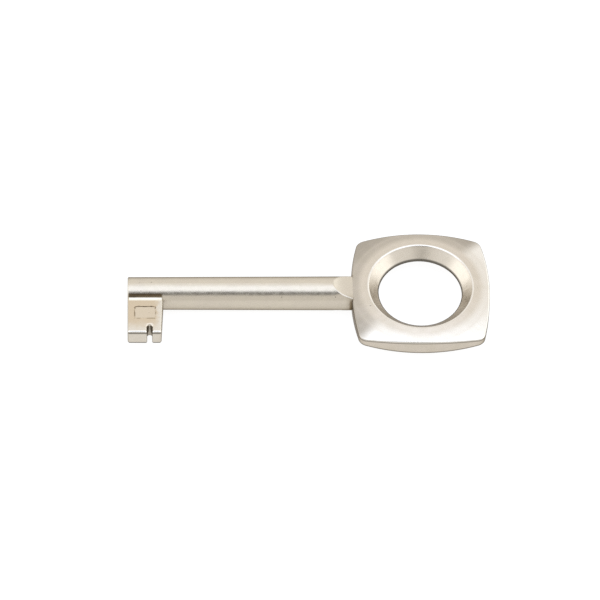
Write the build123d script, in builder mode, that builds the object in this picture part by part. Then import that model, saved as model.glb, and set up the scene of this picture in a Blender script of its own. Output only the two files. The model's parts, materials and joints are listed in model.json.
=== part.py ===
"""Flag-bit key: a cushion-shaped bow cast round a round shank, with a flag bit brazed to its tip.

The frame's origin is the centre of the shank's flat tip. +X runs along the shank from the tip to
the bow, the bit points to -Y, and +Z is normal to the flat of the bow. Sizes are in millimetres.
"""

from build123d import *
import os
from math import sqrt

# Shank
SHANK_TIP_DIA = 5.92          # the shank swells slightly from the tip to the bow
SHANK_BOW_DIA = 6.16
TIP_ROUNDING = 0.22

# Bow
BOW_CENTRE_X = 53.0           # from the tip's face to the centre of the bow's hole
BOW_WIDTH = 25.16             # between the middles of opposite sides
BOW_CORNER_WIDTH = 22.34      # between neighbouring corners, along the chord
BOW_CORNER_ROUNDING = 1.75
BOW_CROWN = 5.97              # thickness that the domed faces would have at the hole's centre
BOW_DOME_RADIUS = 58.0
BOW_EDGE_ROUNDING = 0.38

# Hole in the bow
HOLE_WAIST_DIA = 15.12
HOLE_LAND = 0.4               # length of the straight wall at the waist
HOLE_RIM_DIA = 18.96
HOLE_RIM_HEIGHT = 2.2         # of the rim above the middle plane
HOLE_RIM_ROUNDING = 0.45

# Neck, where the shank enters the bow
NECK_THICKNESS = 3.36         # across the two scoops, at the shank's shoulder
NECK_START_X = 37.1
NECK_SCOOP_RADIUS = 17.0      # the scoops are slightly hollow along the shank
NECK_EDGE_ROUNDING = 0.3
SEAT_DEPTH = 0.3              # notch in the bow's side that takes the shank's shoulder

# Tang, the end of the shank that the bow is cast round
TANG_LENGTH = 2.9
TANG_WIDTH = 5.0
TANG_THICKNESS = 2.0
TANG_CORNER_ROUNDING = 0.4
TANG_NOTCH_RADIUS = 0.6       # notches that lock the tang in the casting

# Bit
BIT_ROOT_WIDTH = 6.44         # along the shank, from the tip's face
BIT_OUTER_START_X = 0.04      # the sides draw in slightly towards the outer edge
BIT_OUTER_END_X = 6.14
BIT_REACH = 10.22             # from the shank's axis to the bit's outer edge
BIT_THICKNESS = 3.4
BIT_CORNER_ROUNDING = 0.45
BIT_EDGE_ROUNDING = 0.45

# Slot in the bit's outer edge
SLOT_CENTRE_X = 4.0
SLOT_WIDTH = 0.9
SLOT_DEPTH = 1.75
SLOT_MOUTH_ROUNDING = 0.2

# Shallow plain panel sunk in the bit's upper face
PANEL_CENTRE_X = 3.17
PANEL_CENTRE_Y = -5.6
PANEL_LENGTH = 3.7
PANEL_WIDTH = 2.7
PANEL_CORNER_ROUNDING = 0.35
PANEL_DEPTH = 0.12

# Tongue on the bit's root, which sits in a slot in the shank
TONGUE_START_X = 1.1
TONGUE_LENGTH = 4.2
TONGUE_THICKNESS = 1.6
TONGUE_DEPTH = 1.9            # how far it enters the shank

# Filler metal along the bit's root
BRAZE_RADIUS = 1.2            # concave radius of its face
BRAZE_ROOT_DEPTH = 0.35       # step along the bit's root that the filler sinks into
BRAZE_START_X = 0.25
BRAZE_END_X = 6.15

# Sizes that follow from the ones above
SHANK_TIP_R = SHANK_TIP_DIA / 2
SHANK_BOW_R = SHANK_BOW_DIA / 2
BOW_HALF_CROWN = BOW_CROWN / 2
BOW_EDGE_X = BOW_CENTRE_X - BOW_WIDTH / 2
SHOULDER_X = BOW_EDGE_X + SEAT_DEPTH
BIT_HALF_THICKNESS = BIT_THICKNESS / 2
CUTTER_MARGIN = 1.0           # how far a cutter runs past the solid that it cuts
TOLERANCE = 0.01

BOW_SECTION_PLANE = Plane(origin=(BOW_CENTRE_X, 0, 0), x_dir=(1, 0, 0), z_dir=(0, -1, 0))
BOW_AXIS = Axis((BOW_CENTRE_X, 0, 0), (0, 0, 1))


def bow_outline():
    """Cushion outline of the bow at its lowest plane: four shallow arcs and four corners."""
    corner = BOW_CORNER_WIDTH / 2
    with BuildSketch(Plane((BOW_CENTRE_X, 0, -BOW_HALF_CROWN))) as outline:
        with BuildLine():
            for turn in (0, 90, 180, 270):
                ThreePointArc(
                    Vector(corner, -corner).rotate(Axis.Z, turn),
                    Vector(BOW_WIDTH / 2, 0).rotate(Axis.Z, turn),
                    Vector(corner, corner).rotate(Axis.Z, turn),
                )
        make_face()
        fillet(outline.vertices(), radius=BOW_CORNER_ROUNDING)
    return outline.sketch


def bow_section():
    """Half section that revolves to both domed faces and to the funnel-shaped hole."""
    lens_radius = sqrt(BOW_DOME_RADIUS**2 - (BOW_DOME_RADIUS - BOW_HALF_CROWN) ** 2)
    waist_r = HOLE_WAIST_DIA / 2
    half_land = HOLE_LAND / 2
    slope = (HOLE_RIM_DIA / 2 - waist_r) / (HOLE_RIM_HEIGHT - half_land)
    mouth_z = BOW_HALF_CROWN + CUTTER_MARGIN
    mouth_r = waist_r + slope * (mouth_z - half_land)
    with BuildSketch(BOW_SECTION_PLANE) as section:
        with BuildLine():
            RadiusArc((lens_radius, 0), (0, BOW_HALF_CROWN), -BOW_DOME_RADIUS)
            Line((0, BOW_HALF_CROWN), (0, -BOW_HALF_CROWN))
            RadiusArc((0, -BOW_HALF_CROWN), (lens_radius, 0), -BOW_DOME_RADIUS)
        make_face()
        with BuildLine():
            Polyline(
                (0, -mouth_z),
                (mouth_r, -mouth_z),
                (waist_r, -half_land),
                (waist_r, half_land),
                (mouth_r, mouth_z),
                (0, mouth_z),
                close=True,
            )
        make_face(mode=Mode.SUBTRACT)
        rims = section.vertices().filter_by(lambda corner: abs(corner.Y) > half_land + TOLERANCE)
        fillet(rims, radius=HOLE_RIM_ROUNDING)
    return section.sketch


def tang_outline():
    """Plan of the tang: a tongue with rounded end corners and a round notch in each side."""
    middle_x = SHOULDER_X + TANG_LENGTH / 2
    with BuildSketch(Plane.XY.offset(-TANG_THICKNESS / 2)) as outline:
        with Locations((middle_x, 0)):
            Rectangle(TANG_LENGTH, TANG_WIDTH)
        fillet(outline.vertices().group_by(Axis.X)[-1], radius=TANG_CORNER_ROUNDING)
        with Locations((middle_x, TANG_WIDTH / 2), (middle_x, -TANG_WIDTH / 2)):
            Circle(TANG_NOTCH_RADIUS, mode=Mode.SUBTRACT)
    return outline.sketch


def tongue_outline():
    """Plan of the bit's tongue, from well inside the blade to its end inside the shank."""
    inner_y = TONGUE_DEPTH - SHANK_TIP_R
    outer_y = -SHANK_TIP_R - CUTTER_MARGIN
    with BuildSketch(Plane.XY.offset(-TONGUE_THICKNESS / 2)) as outline:
        with Locations((TONGUE_START_X, outer_y)):
            Rectangle(TONGUE_LENGTH, inner_y - outer_y, align=(Align.MIN, Align.MIN))
    return outline.sketch


def round_shank():
    """The shank's swelling rod before anything is cut in it."""
    with BuildPart() as rod:
        with BuildSketch(Plane.XZ):
            with BuildLine():
                Polyline(
                    (0, 0),
                    (0, SHANK_TIP_R),
                    (SHOULDER_X, SHANK_BOW_R),
                    (SHOULDER_X, 0),
                    close=True,
                )
            make_face()
        revolve(axis=Axis.X)
    return rod.part


def scoop_edges(rod):
    """Edges round the two scoops of the neck, without those that meet the bow."""
    scoops = rod.faces().filter_by(
        lambda face: face.geom_type == GeomType.CYLINDER
        and abs(face.radius - NECK_SCOOP_RADIUS) < TOLERANCE
    )
    return scoops.edges().filter_by(lambda edge: edge.center().X < SHOULDER_X - TOLERANCE)


# Bow: a domed cushion plate with a funnel-shaped hole, cast round the shank's tang.
with BuildPart() as bow:
    extrude(bow_outline(), amount=BOW_CROWN)
    revolve(bow_section(), axis=BOW_AXIS, mode=Mode.INTERSECT)
    dome_edges = bow.faces().filter_by(GeomType.SPHERE).edges()
    fillet(dome_edges.filter_by(GeomType.CIRCLE, reverse=True), radius=BOW_EDGE_ROUNDING)
    with BuildSketch(Plane.YZ.offset(BOW_EDGE_X - CUTTER_MARGIN)):
        Circle(SHANK_BOW_R)
    extrude(amount=CUTTER_MARGIN + SEAT_DEPTH, mode=Mode.SUBTRACT)
    extrude(tang_outline(), amount=TANG_THICKNESS, mode=Mode.SUBTRACT)

# Shank: a round rod with a scoop on each side of its neck, a tang, and a slot for the bit.
with BuildPart() as shank:
    add(round_shank())
    fillet(shank.edges().group_by(Axis.X)[0], radius=TIP_ROUNDING)
    with BuildSketch(Plane.XZ):
        with BuildLine():
            scoop = RadiusArc(
                (NECK_START_X, SHANK_BOW_R),
                (SHOULDER_X, NECK_THICKNESS / 2),
                -NECK_SCOOP_RADIUS,
            )
            Polyline(
                scoop @ 1,
                (SHOULDER_X + CUTTER_MARGIN, NECK_THICKNESS / 2),
                (SHOULDER_X + CUTTER_MARGIN, SHANK_BOW_R + CUTTER_MARGIN),
                (NECK_START_X, SHANK_BOW_R + CUTTER_MARGIN),
                scoop @ 0,
            )
        make_face()
        mirror(about=Plane.XZ)
    extrude(amount=SHANK_BOW_R + CUTTER_MARGIN, both=True, mode=Mode.SUBTRACT)
    fillet(scoop_edges(shank), radius=NECK_EDGE_ROUNDING)
    extrude(tang_outline(), amount=TANG_THICKNESS)
    extrude(tongue_outline(), amount=TONGUE_THICKNESS, mode=Mode.SUBTRACT)

# Filler metal: a concave bead along the bit's root, on the upper and the lower side.
with BuildPart() as bit_braze_fillets:
    arc_centre_z = BIT_HALF_THICKNESS + BRAZE_RADIUS
    arc_centre_y = -sqrt((SHANK_TIP_R + BRAZE_RADIUS) ** 2 - arc_centre_z**2)
    touch = SHANK_TIP_R / (SHANK_TIP_R + BRAZE_RADIUS)
    with BuildSketch(Plane.YZ.offset(BRAZE_START_X)):
        with BuildLine():
            Polyline(
                (arc_centre_y, BIT_HALF_THICKNESS),
                (arc_centre_y, BIT_HALF_THICKNESS - BRAZE_ROOT_DEPTH),
                (0, BIT_HALF_THICKNESS - BRAZE_ROOT_DEPTH),
                (touch * arc_centre_y, touch * arc_centre_z),
            )
            RadiusArc(
                (touch * arc_centre_y, touch * arc_centre_z),
                (arc_centre_y, BIT_HALF_THICKNESS),
                BRAZE_RADIUS,
            )
        make_face()
        mirror(about=Plane.XZ)
    extrude(amount=BRAZE_END_X - BRAZE_START_X)
    add(round_shank(), mode=Mode.SUBTRACT)

# Bit: a flag-shaped blade with one slot in its outer edge and a tongue on its root.
with BuildPart() as bit:
    with BuildSketch(Plane.XY.offset(-BIT_HALF_THICKNESS)) as blade:
        with BuildLine():
            Polyline(
                (0, 0),
                (BIT_ROOT_WIDTH, 0),
                (BIT_ROOT_WIDTH, -SHANK_TIP_R),
                (BIT_OUTER_END_X, -BIT_REACH),
                (BIT_OUTER_START_X, -BIT_REACH),
                (0, -SHANK_TIP_R),
                close=True,
            )
        make_face()
        outer_corners = blade.vertices().group_by(Axis.Y)[0]
        fillet(outer_corners, radius=BIT_CORNER_ROUNDING)
        with Locations((SLOT_CENTRE_X, -BIT_REACH)):
            SlotCenterPoint(
                center=(0, 0),
                point=(0, SLOT_DEPTH - SLOT_WIDTH / 2),
                height=SLOT_WIDTH,
                mode=Mode.SUBTRACT,
            )
        near_slot = blade.vertices().group_by(Axis.Y)[0].filter_by(
            lambda corner: abs(corner.X - SLOT_CENTRE_X) < SLOT_WIDTH
        )
        fillet(near_slot, radius=SLOT_MOUTH_ROUNDING)
    extrude(amount=BIT_THICKNESS)
    broad_faces = bit.faces().filter_by(Axis.Z)
    long_edges = broad_faces.edges().filter_by(lambda edge: edge.center().Y < -CUTTER_MARGIN)
    fillet(long_edges, radius=BIT_EDGE_ROUNDING)
    with BuildSketch(Plane.XY.offset(BIT_HALF_THICKNESS - PANEL_DEPTH)):
        with Locations((PANEL_CENTRE_X, PANEL_CENTRE_Y)):
            RectangleRounded(PANEL_LENGTH, PANEL_WIDTH, PANEL_CORNER_ROUNDING)
    extrude(amount=PANEL_DEPTH, mode=Mode.SUBTRACT)
    add(round_shank(), mode=Mode.SUBTRACT)
    add(bit_braze_fillets.part, mode=Mode.SUBTRACT)
    extrude(tongue_outline(), amount=TONGUE_THICKNESS)

os.makedirs("parts", exist_ok=True)

bow.part.label = "bow"
shank.part.label = "shank"
bit.part.label = "bit"
bit_braze_fillets.part.label = "bit_braze_fillets"

export_step(bow.part, "parts/bow.step")
export_step(shank.part, "parts/shank.step")
export_step(bit.part, "parts/bit.step")
export_step(bit_braze_fillets.part, "parts/bit_braze_fillets.step")
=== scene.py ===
"""Looks of the flag-bit key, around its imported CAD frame. Metres, in the frame's own axes:
+X runs from the tip to the bow, the bit points to -Y, and +Z is normal to the flat of the bow."""
import json
from math import cos, radians, sin

import bpy
from mathutils import Matrix, Vector


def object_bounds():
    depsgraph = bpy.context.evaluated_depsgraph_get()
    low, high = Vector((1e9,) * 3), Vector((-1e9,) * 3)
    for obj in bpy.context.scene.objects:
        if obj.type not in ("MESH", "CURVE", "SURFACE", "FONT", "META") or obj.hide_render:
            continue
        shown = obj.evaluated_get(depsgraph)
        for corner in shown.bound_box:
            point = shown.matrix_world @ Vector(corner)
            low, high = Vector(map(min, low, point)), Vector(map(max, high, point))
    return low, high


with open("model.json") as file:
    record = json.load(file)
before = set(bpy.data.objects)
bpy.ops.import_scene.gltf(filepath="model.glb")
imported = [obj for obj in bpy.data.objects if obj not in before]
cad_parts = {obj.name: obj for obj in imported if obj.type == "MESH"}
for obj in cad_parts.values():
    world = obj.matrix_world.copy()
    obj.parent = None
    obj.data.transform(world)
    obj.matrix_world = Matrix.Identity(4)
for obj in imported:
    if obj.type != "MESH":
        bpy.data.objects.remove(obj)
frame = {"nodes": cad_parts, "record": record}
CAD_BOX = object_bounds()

MM = 0.001

# Camera: a long lens that looks down on the key as it lies flat.
CAMERA_AZIMUTH = -2.53        # degrees, from straight in front of the bit's side
CAMERA_ELEVATION = 51.8
CAMERA_ROLL = 1.96
CAMERA_DISTANCE = 816 * MM    # from the hole's centre, along the line of sight
FRAME_WIDTH = 108.83 * MM     # what the picture spans at that distance
HOLE_RIGHT_OF_CENTRE = 21.79 * MM
HOLE_ABOVE_CENTRE = 1.22 * MM
SENSOR = 36.0
CLIP_NEAR = 10 * MM
CLIP_FAR = 10.0

# Studio: what the metal mirrors, as soft patches of light around the key. Each patch has a
# direction (azimuth from straight in front, elevation), the angles from it at which it is full
# and gone, a squeeze along X that widens it when under 1, and its brightness and tint.
SURROUND = (0.98, 0.98, 0.98)
PATCHES = (
    ("back_wall", (180, 25), 40, 80, 1.0, (1.21, 1.21, 1.22)),
    ("left_card", (-94, 14), 17, 33, 1.0, (1.80, 1.85, 1.92)),
    ("right_card", (88, 14), 16, 31, 1.0, (1.80, 1.85, 1.92)),
    ("right_rear_card", (128, 16), 8, 21, 1.0, (1.75, 1.80, 1.85)),
    ("overhead_box", (0, 79), 10, 42, 0.45, (1.74, 1.88, 2.16)),
    ("dark_camera", (CAMERA_AZIMUTH, CAMERA_ELEVATION), 8, 18, 1.0, (0.15, 0.15, 0.15)),
)
FLOOR_HALF_WIDTH = 1.5
FLOOR_GREY = 0.16
FLOOR_GLOW = 0.90
FLOOR_ROUGHNESS = 0.9

# Metals: the base tone, the tone of its broad clouds and the tone of its small blotches.
BOW_TONES = ((0.575, 0.515, 0.425), (0.60, 0.535, 0.45), (0.56, 0.50, 0.425))
SHANK_TONES = ((0.56, 0.50, 0.413), (0.575, 0.515, 0.42), (0.535, 0.49, 0.395))
BIT_TONES = ((0.645, 0.595, 0.51), (0.63, 0.575, 0.49), (0.60, 0.545, 0.455))
BRAZE_TONES = ((0.71, 0.655, 0.54), (0.69, 0.63, 0.51), (0.66, 0.595, 0.47))
EDGE_TINT = (0.30, 0.28, 0.26)    # at grazing angles, where it darkens the outlines

# Tints laid over the base tones: wear and grime, and painted shade, light and highlights.
# Painted shade at the joints and crevices, and a brown line along the bit's panel.
DARK_BROWN = (0.135, 0.092, 0.045)
# Oxide in the grain and pits, and painted shade in recesses and along edges.
OXIDE_AND_SHADE = (0.11, 0.098, 0.08)
# Painted light, lightening the inside of the hole's funnel.
FUNNEL_LIGHTENING = (0.635, 0.57, 0.475)
BIT_TAN = (0.55, 0.45, 0.32)
# Painted highlight along edges.
PAINTED_HIGHLIGHT = (0.80, 0.765, 0.70)

# Sizes of the marks that every metal has, in millimetres.
CLOUD_SIZE = 2.6
BLOTCH_SIZE = 0.8
WAVE_SIZE = 1.9
PIT_SPACING = 1.5
PIT_RADIUS = 0.2
PIT_DEPTH = 0.02
PITTED_AREA_SIZE = 3.1
ROUGHNESS_SWING = 0.14        # from the smoothest blotches to the roughest

# Places on the key, in millimetres of the frame.
HOLE_X = 53.0
WAIST_RADIUS = 7.56
RIM_RADIUS = 9.4
DOME_RADIUS = 58.0            # of the bow's domed faces
HALF_CROWN = 2.985            # their height above the middle plane, at the hole's centre
SHOULDER_X = 40.45            # of the bow's wall, beside the shank
SHANK_RADIUS = 3.08
BRAZE_TOE = (2.12, 2.06)      # how far the bead's upper edge is from the axis, along Y and Z
BRAZE_FROM_X = 0.25
BRAZE_TO_X = 6.15
SLOT_X = 4.0
SLOT_HALF_WIDTH = 0.45
SLOT_END_Y = -8.47
BIT_TOP_Z = 1.7
BIT_FRONT_Y = -10.22
PANEL_CENTRE = (3.17, -5.6)
PANEL_HALF = (1.85, 1.35)

# Sockets of the colour mix node, which has several of the same name.
MIX_LOW, MIX_HIGH, MIX_RESULT = 6, 7, 2

hole = Vector(next(m["pos_m"] for m in frame["record"]["mounts"] if m["name"] == "ring_hole"))


def direction(azimuth, elevation):
    """Unit vector towards a place around the key: azimuth 0 is straight in front (-Y)."""
    turn, rise = radians(azimuth), radians(elevation)
    return Vector((sin(turn) * cos(rise), -cos(turn) * cos(rise), sin(rise)))


def make_camera():
    """Places the camera so that the key lies across the picture as it does in a product shot."""
    back = direction(CAMERA_AZIMUTH, CAMERA_ELEVATION)
    turn, roll = radians(CAMERA_AZIMUTH), radians(CAMERA_ROLL)
    level = Vector((cos(turn), sin(turn), 0))
    upright = back.cross(level)
    right = level * cos(roll) + upright * sin(roll)
    up = upright * cos(roll) - level * sin(roll)
    data = bpy.data.cameras.new("camera")
    data.sensor_width = SENSOR
    data.lens = SENSOR * CAMERA_DISTANCE / FRAME_WIDTH
    data.clip_start = CLIP_NEAR
    data.clip_end = CLIP_FAR
    camera = bpy.data.objects.new("camera", data)
    bpy.context.scene.collection.objects.link(camera)
    eye = hole - right * HOLE_RIGHT_OF_CENTRE - up * HOLE_ABOVE_CENTRE + back * CAMERA_DISTANCE
    axes = Matrix((right, up, back)).transposed()
    camera.matrix_world = Matrix.Translation(eye) @ axes.to_4x4()
    bpy.context.scene.camera = camera


def make_floor():
    """A plain white floor that glows a little, so that the key's shadow on it stays faint."""
    mesh = bpy.data.meshes.new("floor")
    half = FLOOR_HALF_WIDTH
    z = CAD_BOX[0].z
    corners = [(-half, -half, z), (half, -half, z), (half, half, z), (-half, half, z)]
    mesh.from_pydata(corners, [], [(0, 1, 2, 3)])
    floor = bpy.data.objects.new("floor", mesh)
    bpy.context.scene.collection.objects.link(floor)
    material = bpy.data.materials.new("floor")
    material.use_nodes = True
    shader = material.node_tree.nodes["Principled BSDF"]
    shader.inputs["Base Color"].default_value = (FLOOR_GREY, FLOOR_GREY, FLOOR_GREY, 1)
    shader.inputs["Roughness"].default_value = FLOOR_ROUGHNESS
    shader.inputs["Specular IOR Level"].default_value = 0.0
    shader.inputs["Emission Color"].default_value = (1, 1, 1, 1)
    shader.inputs["Emission Strength"].default_value = FLOOR_GLOW
    mesh.materials.append(material)


class Nodes:
    """Adds nodes to one tree, so that a finish reads as a short list of steps."""

    def __init__(self, tree):
        self.tree = tree

    def add(self, kind, *links, **settings):
        """One node with its settings made, and its inputs set or linked in order."""
        node = self.tree.nodes.new(kind)
        for key, value in settings.items():
            setattr(node, key, value)
        for socket, value in zip(node.inputs, links):
            self.feed(socket, value)
        return node

    def feed(self, socket, value):
        """Links a socket to another one, or sets its value."""
        if isinstance(value, bpy.types.NodeSocket):
            self.tree.links.new(value, socket)
        else:
            socket.default_value = value

    def math(self, operation, *values):
        return self.add("ShaderNodeMath", *values, operation=operation).outputs[0]

    def vector(self, operation, *values):
        return self.add("ShaderNodeVectorMath", *values, operation=operation).outputs

    def fade(self, value, gone, full):
        """Smooth step of a value: 0 at gone, 1 at full."""
        node = self.add("ShaderNodeMapRange", value, interpolation_type="SMOOTHSTEP")
        node.inputs["From Min"].default_value = min(gone, full)
        node.inputs["From Max"].default_value = max(gone, full)
        node.inputs["To Min"].default_value = 1 if gone > full else 0
        node.inputs["To Max"].default_value = 0 if gone > full else 1
        return node.outputs[0]

    def mix(self, factor, low, high):
        """Colour that goes from low to high with the factor."""
        node = self.add("ShaderNodeMix", data_type="RGBA")
        self.feed(node.inputs["Factor"], factor)
        for socket, colour in ((MIX_LOW, low), (MIX_HIGH, high)):
            linked = isinstance(colour, bpy.types.NodeSocket)
            self.feed(node.inputs[socket], colour if linked else (*colour, 1))
        return node.outputs[MIX_RESULT]

    def noise(self, place, size, detail=2.0, rough=0.5):
        """Noise from 0 to 1 with features of about this size, in the place's units."""
        node = self.add("ShaderNodeTexNoise", place)
        node.inputs["Scale"].default_value = 1 / size
        node.inputs["Detail"].default_value = detail
        node.inputs["Roughness"].default_value = rough
        return node.outputs["Fac"]

    def dots(self, place, spacing, radius, core=0.25):
        """Round spots of about this radius and spacing, full within the core's share of it."""
        node = self.add("ShaderNodeTexVoronoi", place, feature="F1")
        node.inputs["Scale"].default_value = 1 / spacing
        edge = radius / spacing
        return self.fade(node.outputs["Distance"], gone=edge, full=core * edge)


def make_world():
    """The studio around the key: an even surround with soft bright and dark patches."""
    world = bpy.data.worlds.new("studio")
    bpy.context.scene.world = world
    world.use_nodes = True
    tree = world.node_tree
    tree.nodes.clear()
    nodes = Nodes(tree)
    place = nodes.add("ShaderNodeTexCoord").outputs["Generated"]
    colour = SURROUND
    for _, (azimuth, elevation), full, gone, squeeze, tint in PATCHES:
        ray = nodes.vector("NORMALIZE", nodes.vector("MULTIPLY", place, (squeeze, 1, 1))[0])[0]
        near = nodes.vector("DOT_PRODUCT", ray, direction(azimuth, elevation))["Value"]
        patch = nodes.fade(near, gone=cos(radians(gone)), full=cos(radians(full)))
        colour = nodes.mix(patch, colour, tint)
    background = nodes.add("ShaderNodeBackground", colour)
    nodes.add("ShaderNodeOutputWorld", background.outputs[0])


class Finish(Nodes):
    """A worn metal: base tones, grain and pits, and wear, grime, painted shade and painted
    highlights laid on by place.
    """

    def __init__(self, name, roughness, seed):
        self.material = bpy.data.materials.new(name)
        self.material.use_nodes = True
        super().__init__(self.material.node_tree)
        self.shader = self.tree.nodes["Principled BSDF"]
        self.shader.inputs["Metallic"].default_value = 1
        self.shader.inputs["Specular Tint"].default_value = (*EDGE_TINT, 1)
        at = self.add("ShaderNodeTexCoord").outputs["Object"]
        self.place = self.vector("SCALE", at)[0]
        self.place.node.inputs["Scale"].default_value = 1 / MM
        self.x, self.y, self.z = self.add("ShaderNodeSeparateXYZ", self.place).outputs
        self.grainy = self.vector("ADD", self.place, (seed, 2 * seed, 3 * seed))[0]
        self.roughness = roughness
        self.colour = None

    def band(self, value, centre, full, gone):
        """1 where a value is within full of the centre, 0 beyond gone."""
        away = self.math("ABSOLUTE", self.math("SUBTRACT", value, centre))
        return self.fade(away, gone=gone, full=full)

    def every(self, *masks):
        """1 only where every mask is."""
        result = masks[0]
        for mask in masks[1:]:
            result = self.math("MULTIPLY", result, mask)
        return result

    def radius(self, a, b):
        """Distance from an axis, from two coordinates across it."""
        squares = self.math("MULTIPLY", a, a), self.math("MULTIPLY", b, b)
        return self.math("SQRT", self.math("ADD", *squares))

    def beyond(self, value, centre, half):
        """How far a value lies outside a width around a centre; below 0 when inside it."""
        away = self.math("ABSOLUTE", self.math("SUBTRACT", value, centre))
        return self.math("SUBTRACT", away, half)

    def lay_tint(self, tint, *masks, amount):
        """Lays a tint over the colour where every mask is."""
        cover = self.math("MULTIPLY", self.every(*masks), amount)
        self.colour = self.mix(cover, self.colour, tint)

    def dress(self, tones, grain_size, grain_height, wave_height, stretch=(1, 1, 1)):
        """Colour, roughness and relief of the bare metal. A stretch factor under 1 draws the
        grain out along that axis."""
        base, clouded, blotched = tones
        along = self.vector("MULTIPLY", self.grainy, stretch)[0]
        cloud = self.noise(self.grainy, CLOUD_SIZE, detail=3)
        blotch = self.noise(self.grainy, BLOTCH_SIZE, detail=2)
        grain = self.noise(along, grain_size, detail=3, rough=0.65)
        wave = self.noise(self.grainy, WAVE_SIZE, detail=1)
        self.colour = self.mix(self.fade(cloud, gone=0.36, full=0.64), base, clouded)
        self.lay_tint(blotched, self.fade(blotch, gone=0.45, full=0.75), amount=0.5)
        self.lay_tint(OXIDE_AND_SHADE, self.fade(grain, gone=0.50, full=0.30), amount=0.06)
        pitted_area = self.noise(self.grainy, PITTED_AREA_SIZE, detail=1)
        pits = self.every(
            self.dots(self.grainy, PIT_SPACING, PIT_RADIUS),
            self.fade(pitted_area, gone=0.50, full=0.62),
        )
        self.lay_tint(OXIDE_AND_SHADE, pits, amount=0.5)
        smoothest = self.roughness - ROUGHNESS_SWING / 2
        rough = self.math("MULTIPLY_ADD", blotch, ROUGHNESS_SWING, smoothest)
        self.feed(self.shader.inputs["Roughness"], rough)
        waves = self.math("MULTIPLY", wave, wave_height)
        height = self.math("MULTIPLY_ADD", grain, grain_height, waves)
        height = self.math("MULTIPLY_ADD", pits, -PIT_DEPTH, height)
        relief = self.add("ShaderNodeBump")
        relief.inputs["Strength"].default_value = 1
        relief.inputs["Distance"].default_value = MM
        self.feed(relief.inputs["Height"], height)
        self.feed(self.shader.inputs["Normal"], relief.outputs[0])

    def paint_braze_toe_shade(self):
        """Painted shade in dark brown along the crease where the bead meets the shank, above and
        below.
        """
        across = self.math("ADD", self.y, BRAZE_TOE[0])
        up = self.math("SUBTRACT", self.math("ABSOLUTE", self.z), BRAZE_TOE[1])
        self.lay_tint(
            DARK_BROWN,
            self.fade(self.radius(across, up), gone=0.55, full=0.2),
            self.fade(self.x, gone=BRAZE_FROM_X - 0.3, full=BRAZE_FROM_X + 0.1),
            self.fade(self.x, gone=BRAZE_TO_X + 0.3, full=BRAZE_TO_X - 0.1),
            amount=0.95,
        )

    def finish(self):
        self.feed(self.shader.inputs["Base Color"], self.colour)
        return self.material


def bow_metal():
    """Cast nickel silver, tumbled smooth. Painted shade darkens the hole's waist and the shank's
    seat and lightened metal paints light inside the funnel. The domes' edges carry a painted
    highlight on one half and painted shade on the other, over a line of painted shade, and the
    hole's rim a painted highlight."""
    f = Finish("bow_nickel", roughness=0.27, seed=3.7)
    f.dress(BOW_TONES, grain_size=0.18, grain_height=0.0026, wave_height=0.035)

    from_hole = f.radius(f.math("SUBTRACT", f.x, HOLE_X), f.y)
    # Painted light: the inside of the funnel is lightened.
    in_funnel = f.fade(from_hole, gone=RIM_RADIUS, full=RIM_RADIUS - 0.4)
    f.lay_tint(FUNNEL_LIGHTENING, in_funnel, amount=0.9)
    # Painted shade: a dark line around the hole's waist.
    waist = f.band(from_hole, WAIST_RADIUS, full=0.1, gone=0.4)
    f.lay_tint(OXIDE_AND_SHADE, waist, f.band(f.z, 0, full=0.24, gone=0.5), amount=0.95)

    squared = f.math("MULTIPLY", from_hole, from_hole)
    fall = f.math("MULTIPLY", squared, 1 / (2 * DOME_RADIUS))
    dome = f.math("SUBTRACT", HALF_CROWN, fall)
    below_dome = f.math("SUBTRACT", dome, f.math("ABSOLUTE", f.z))
    outer = f.fade(from_hole, gone=10.6, full=11.2)
    beside_diagonal = f.math("SUBTRACT", f.y, f.math("SUBTRACT", f.x, HOLE_X))
    front_half = f.fade(beside_diagonal, gone=2.0, full=-2.0)
    back_half = f.math("SUBTRACT", 1.0, front_half)
    # Painted highlight along the front half of the domes' outer edges, painted shade along the
    # back half, and a line of painted shade just below the edge.
    edge = f.band(below_dome, 0.11, full=0.08, gone=0.11)
    f.lay_tint(PAINTED_HIGHLIGHT, edge, outer, front_half, amount=0.8)
    f.lay_tint(OXIDE_AND_SHADE, edge, outer, back_half, amount=0.45)
    f.lay_tint(OXIDE_AND_SHADE, f.band(below_dome, 0.34, full=0.08, gone=0.22), outer, amount=0.6)

    # Painted highlight along the hole's rim.
    hole_edge = f.band(from_hole, RIM_RADIUS + 0.12, full=0.08, gone=0.2)
    f.lay_tint(PAINTED_HIGHLIGHT, f.band(below_dome, 0.12, full=0.1, gone=0.13), hole_edge, amount=0.6)

    # Painted shade, dark brown, on the bow's wall around the shank.
    around_shank = f.band(f.radius(f.y, f.z), SHANK_RADIUS, full=0.1, gone=0.5)
    at_wall = f.fade(f.x, gone=SHOULDER_X + 0.6, full=SHOULDER_X)
    f.lay_tint(DARK_BROWN, around_shank, at_wall, amount=0.8)
    return f.finish()


def shank_metal():
    """Drawn rod: faint lines along its length, with painted shade in brown at the bit's root and
    beside the bow.
    """
    f = Finish("shank_nickel", roughness=0.26, seed=11.3)
    f.dress(SHANK_TONES, grain_size=0.16, grain_height=0.0032, wave_height=0.035,
            stretch=(0.25, 1, 1))
    f.paint_braze_toe_shade()
    # Painted shade, dark brown, on the shank's front beside the bow and on its flanks against the
    # bow.
    beside_bow = f.fade(f.x, gone=SHOULDER_X - 1.4, full=SHOULDER_X)
    f.lay_tint(DARK_BROWN, beside_bow, f.fade(f.y, gone=-1.2, full=-2.9), amount=0.35)
    against_bow = f.fade(f.x, gone=SHOULDER_X - 0.5, full=SHOULDER_X - 0.1)
    flanks = f.fade(f.math("ABSOLUTE", f.y), gone=2.5, full=2.95)
    f.lay_tint(DARK_BROWN, against_bow, flanks, amount=0.8)
    return f.finish()


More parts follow.
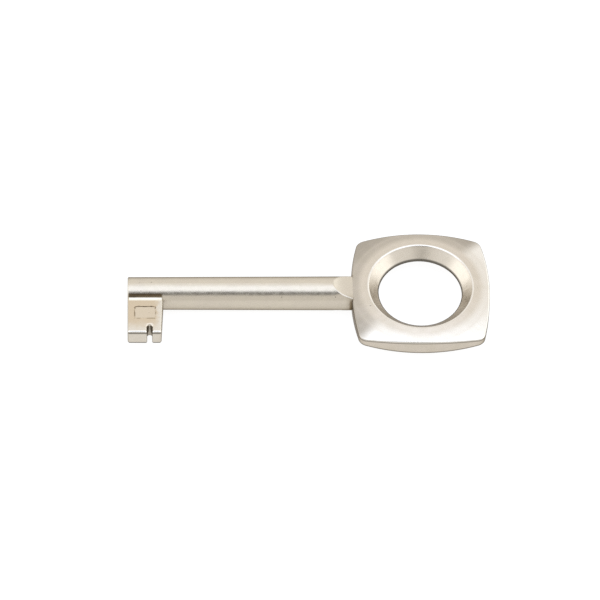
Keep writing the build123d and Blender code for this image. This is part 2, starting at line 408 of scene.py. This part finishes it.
def bit_metal():
    """Brassy wear on the upper face, a slot darkened partly by oxide and partly by painted shade,
    a painted highlight along the front edge over a line of painted shade, and a brown line along
    the panel's edges."""
    f = Finish("bit_nickel", roughness=0.28, seed=5.1)
    f.dress(BIT_TONES, grain_size=0.17, grain_height=0.005, wave_height=0.03)

    upper_face = f.fade(f.z, gone=BIT_TOP_Z - 0.25, full=BIT_TOP_Z - 0.05)
    wander = f.math("MULTIPLY_ADD", f.noise(f.grainy, 0.9, detail=2), 1.6, -0.8)
    f.lay_tint(
        BIT_TAN,
        upper_face,
        f.fade(f.math("ADD", f.x, wander), gone=5.8, full=4.9),
        f.fade(f.math("ADD", f.y, wander), gone=-9.8, full=-7.2),
        amount=0.9,
    )
    # The slot is darkened, partly as oxide and partly as painted shade.
    f.lay_tint(
        OXIDE_AND_SHADE,
        f.band(f.x, SLOT_X, full=SLOT_HALF_WIDTH + 0.03, gone=SLOT_HALF_WIDTH + 0.12),
        f.fade(f.y, gone=SLOT_END_Y + 0.15, full=SLOT_END_Y + 0.03),
        f.band(f.z, 0, full=1.3, gone=1.5),
        amount=0.45,
    )

    # Painted highlight along the front edge of the upper face, over a line of painted shade on
    # the front.
    front_edge = f.band(f.z, BIT_TOP_Z - 0.11, full=0.08, gone=0.11)
    at_front = f.fade(f.y, gone=BIT_FRONT_Y + 0.5, full=BIT_FRONT_Y + 0.4)
    f.lay_tint(PAINTED_HIGHLIGHT, front_edge, at_front, amount=0.8)
    under_edge = f.band(f.math("ABSOLUTE", f.z), BIT_TOP_Z - 0.36, full=0.1, gone=0.24)
    on_front = f.fade(f.y, gone=BIT_FRONT_Y + 0.3, full=BIT_FRONT_Y + 0.1)
    f.lay_tint(OXIDE_AND_SHADE, under_edge, on_front, amount=0.8)

    off_panel = (
        f.beyond(f.x, PANEL_CENTRE[0], PANEL_HALF[0]),
        f.beyond(f.y, PANEL_CENTRE[1], PANEL_HALF[1]),
    )
    panel_edge = f.band(f.math("MAXIMUM", *off_panel), 0, full=0.06, gone=0.2)
    patchy = f.fade(f.noise(f.grainy, 0.6), gone=0.42, full=0.62)
    f.lay_tint(DARK_BROWN, panel_edge, upper_face, patchy, amount=0.75)
    return f.finish()


def braze_metal():
    """Filler metal, a little yellower, with painted shade in brown at the toe on the shank."""
    f = Finish("braze_alloy", roughness=0.24, seed=8.9)
    f.dress(BRAZE_TONES, grain_size=0.14, grain_height=0.003, wave_height=0.02)
    f.paint_braze_toe_shade()
    return f.finish()


def dress_nodes():
    """Gives each CAD node the finish of its piece."""
    finishes = {
        "bow": bow_metal(),
        "shank": shank_metal(),
        "bit": bit_metal(),
        "bit_braze_fillets": braze_metal(),
    }
    for name, piece in frame["nodes"].items():
        piece.data.materials.clear()
        piece.data.materials.append(finishes[name])


make_camera()
make_floor()
make_world()
dress_nodes()
bpy.context.scene.view_settings.view_transform = "Standard"
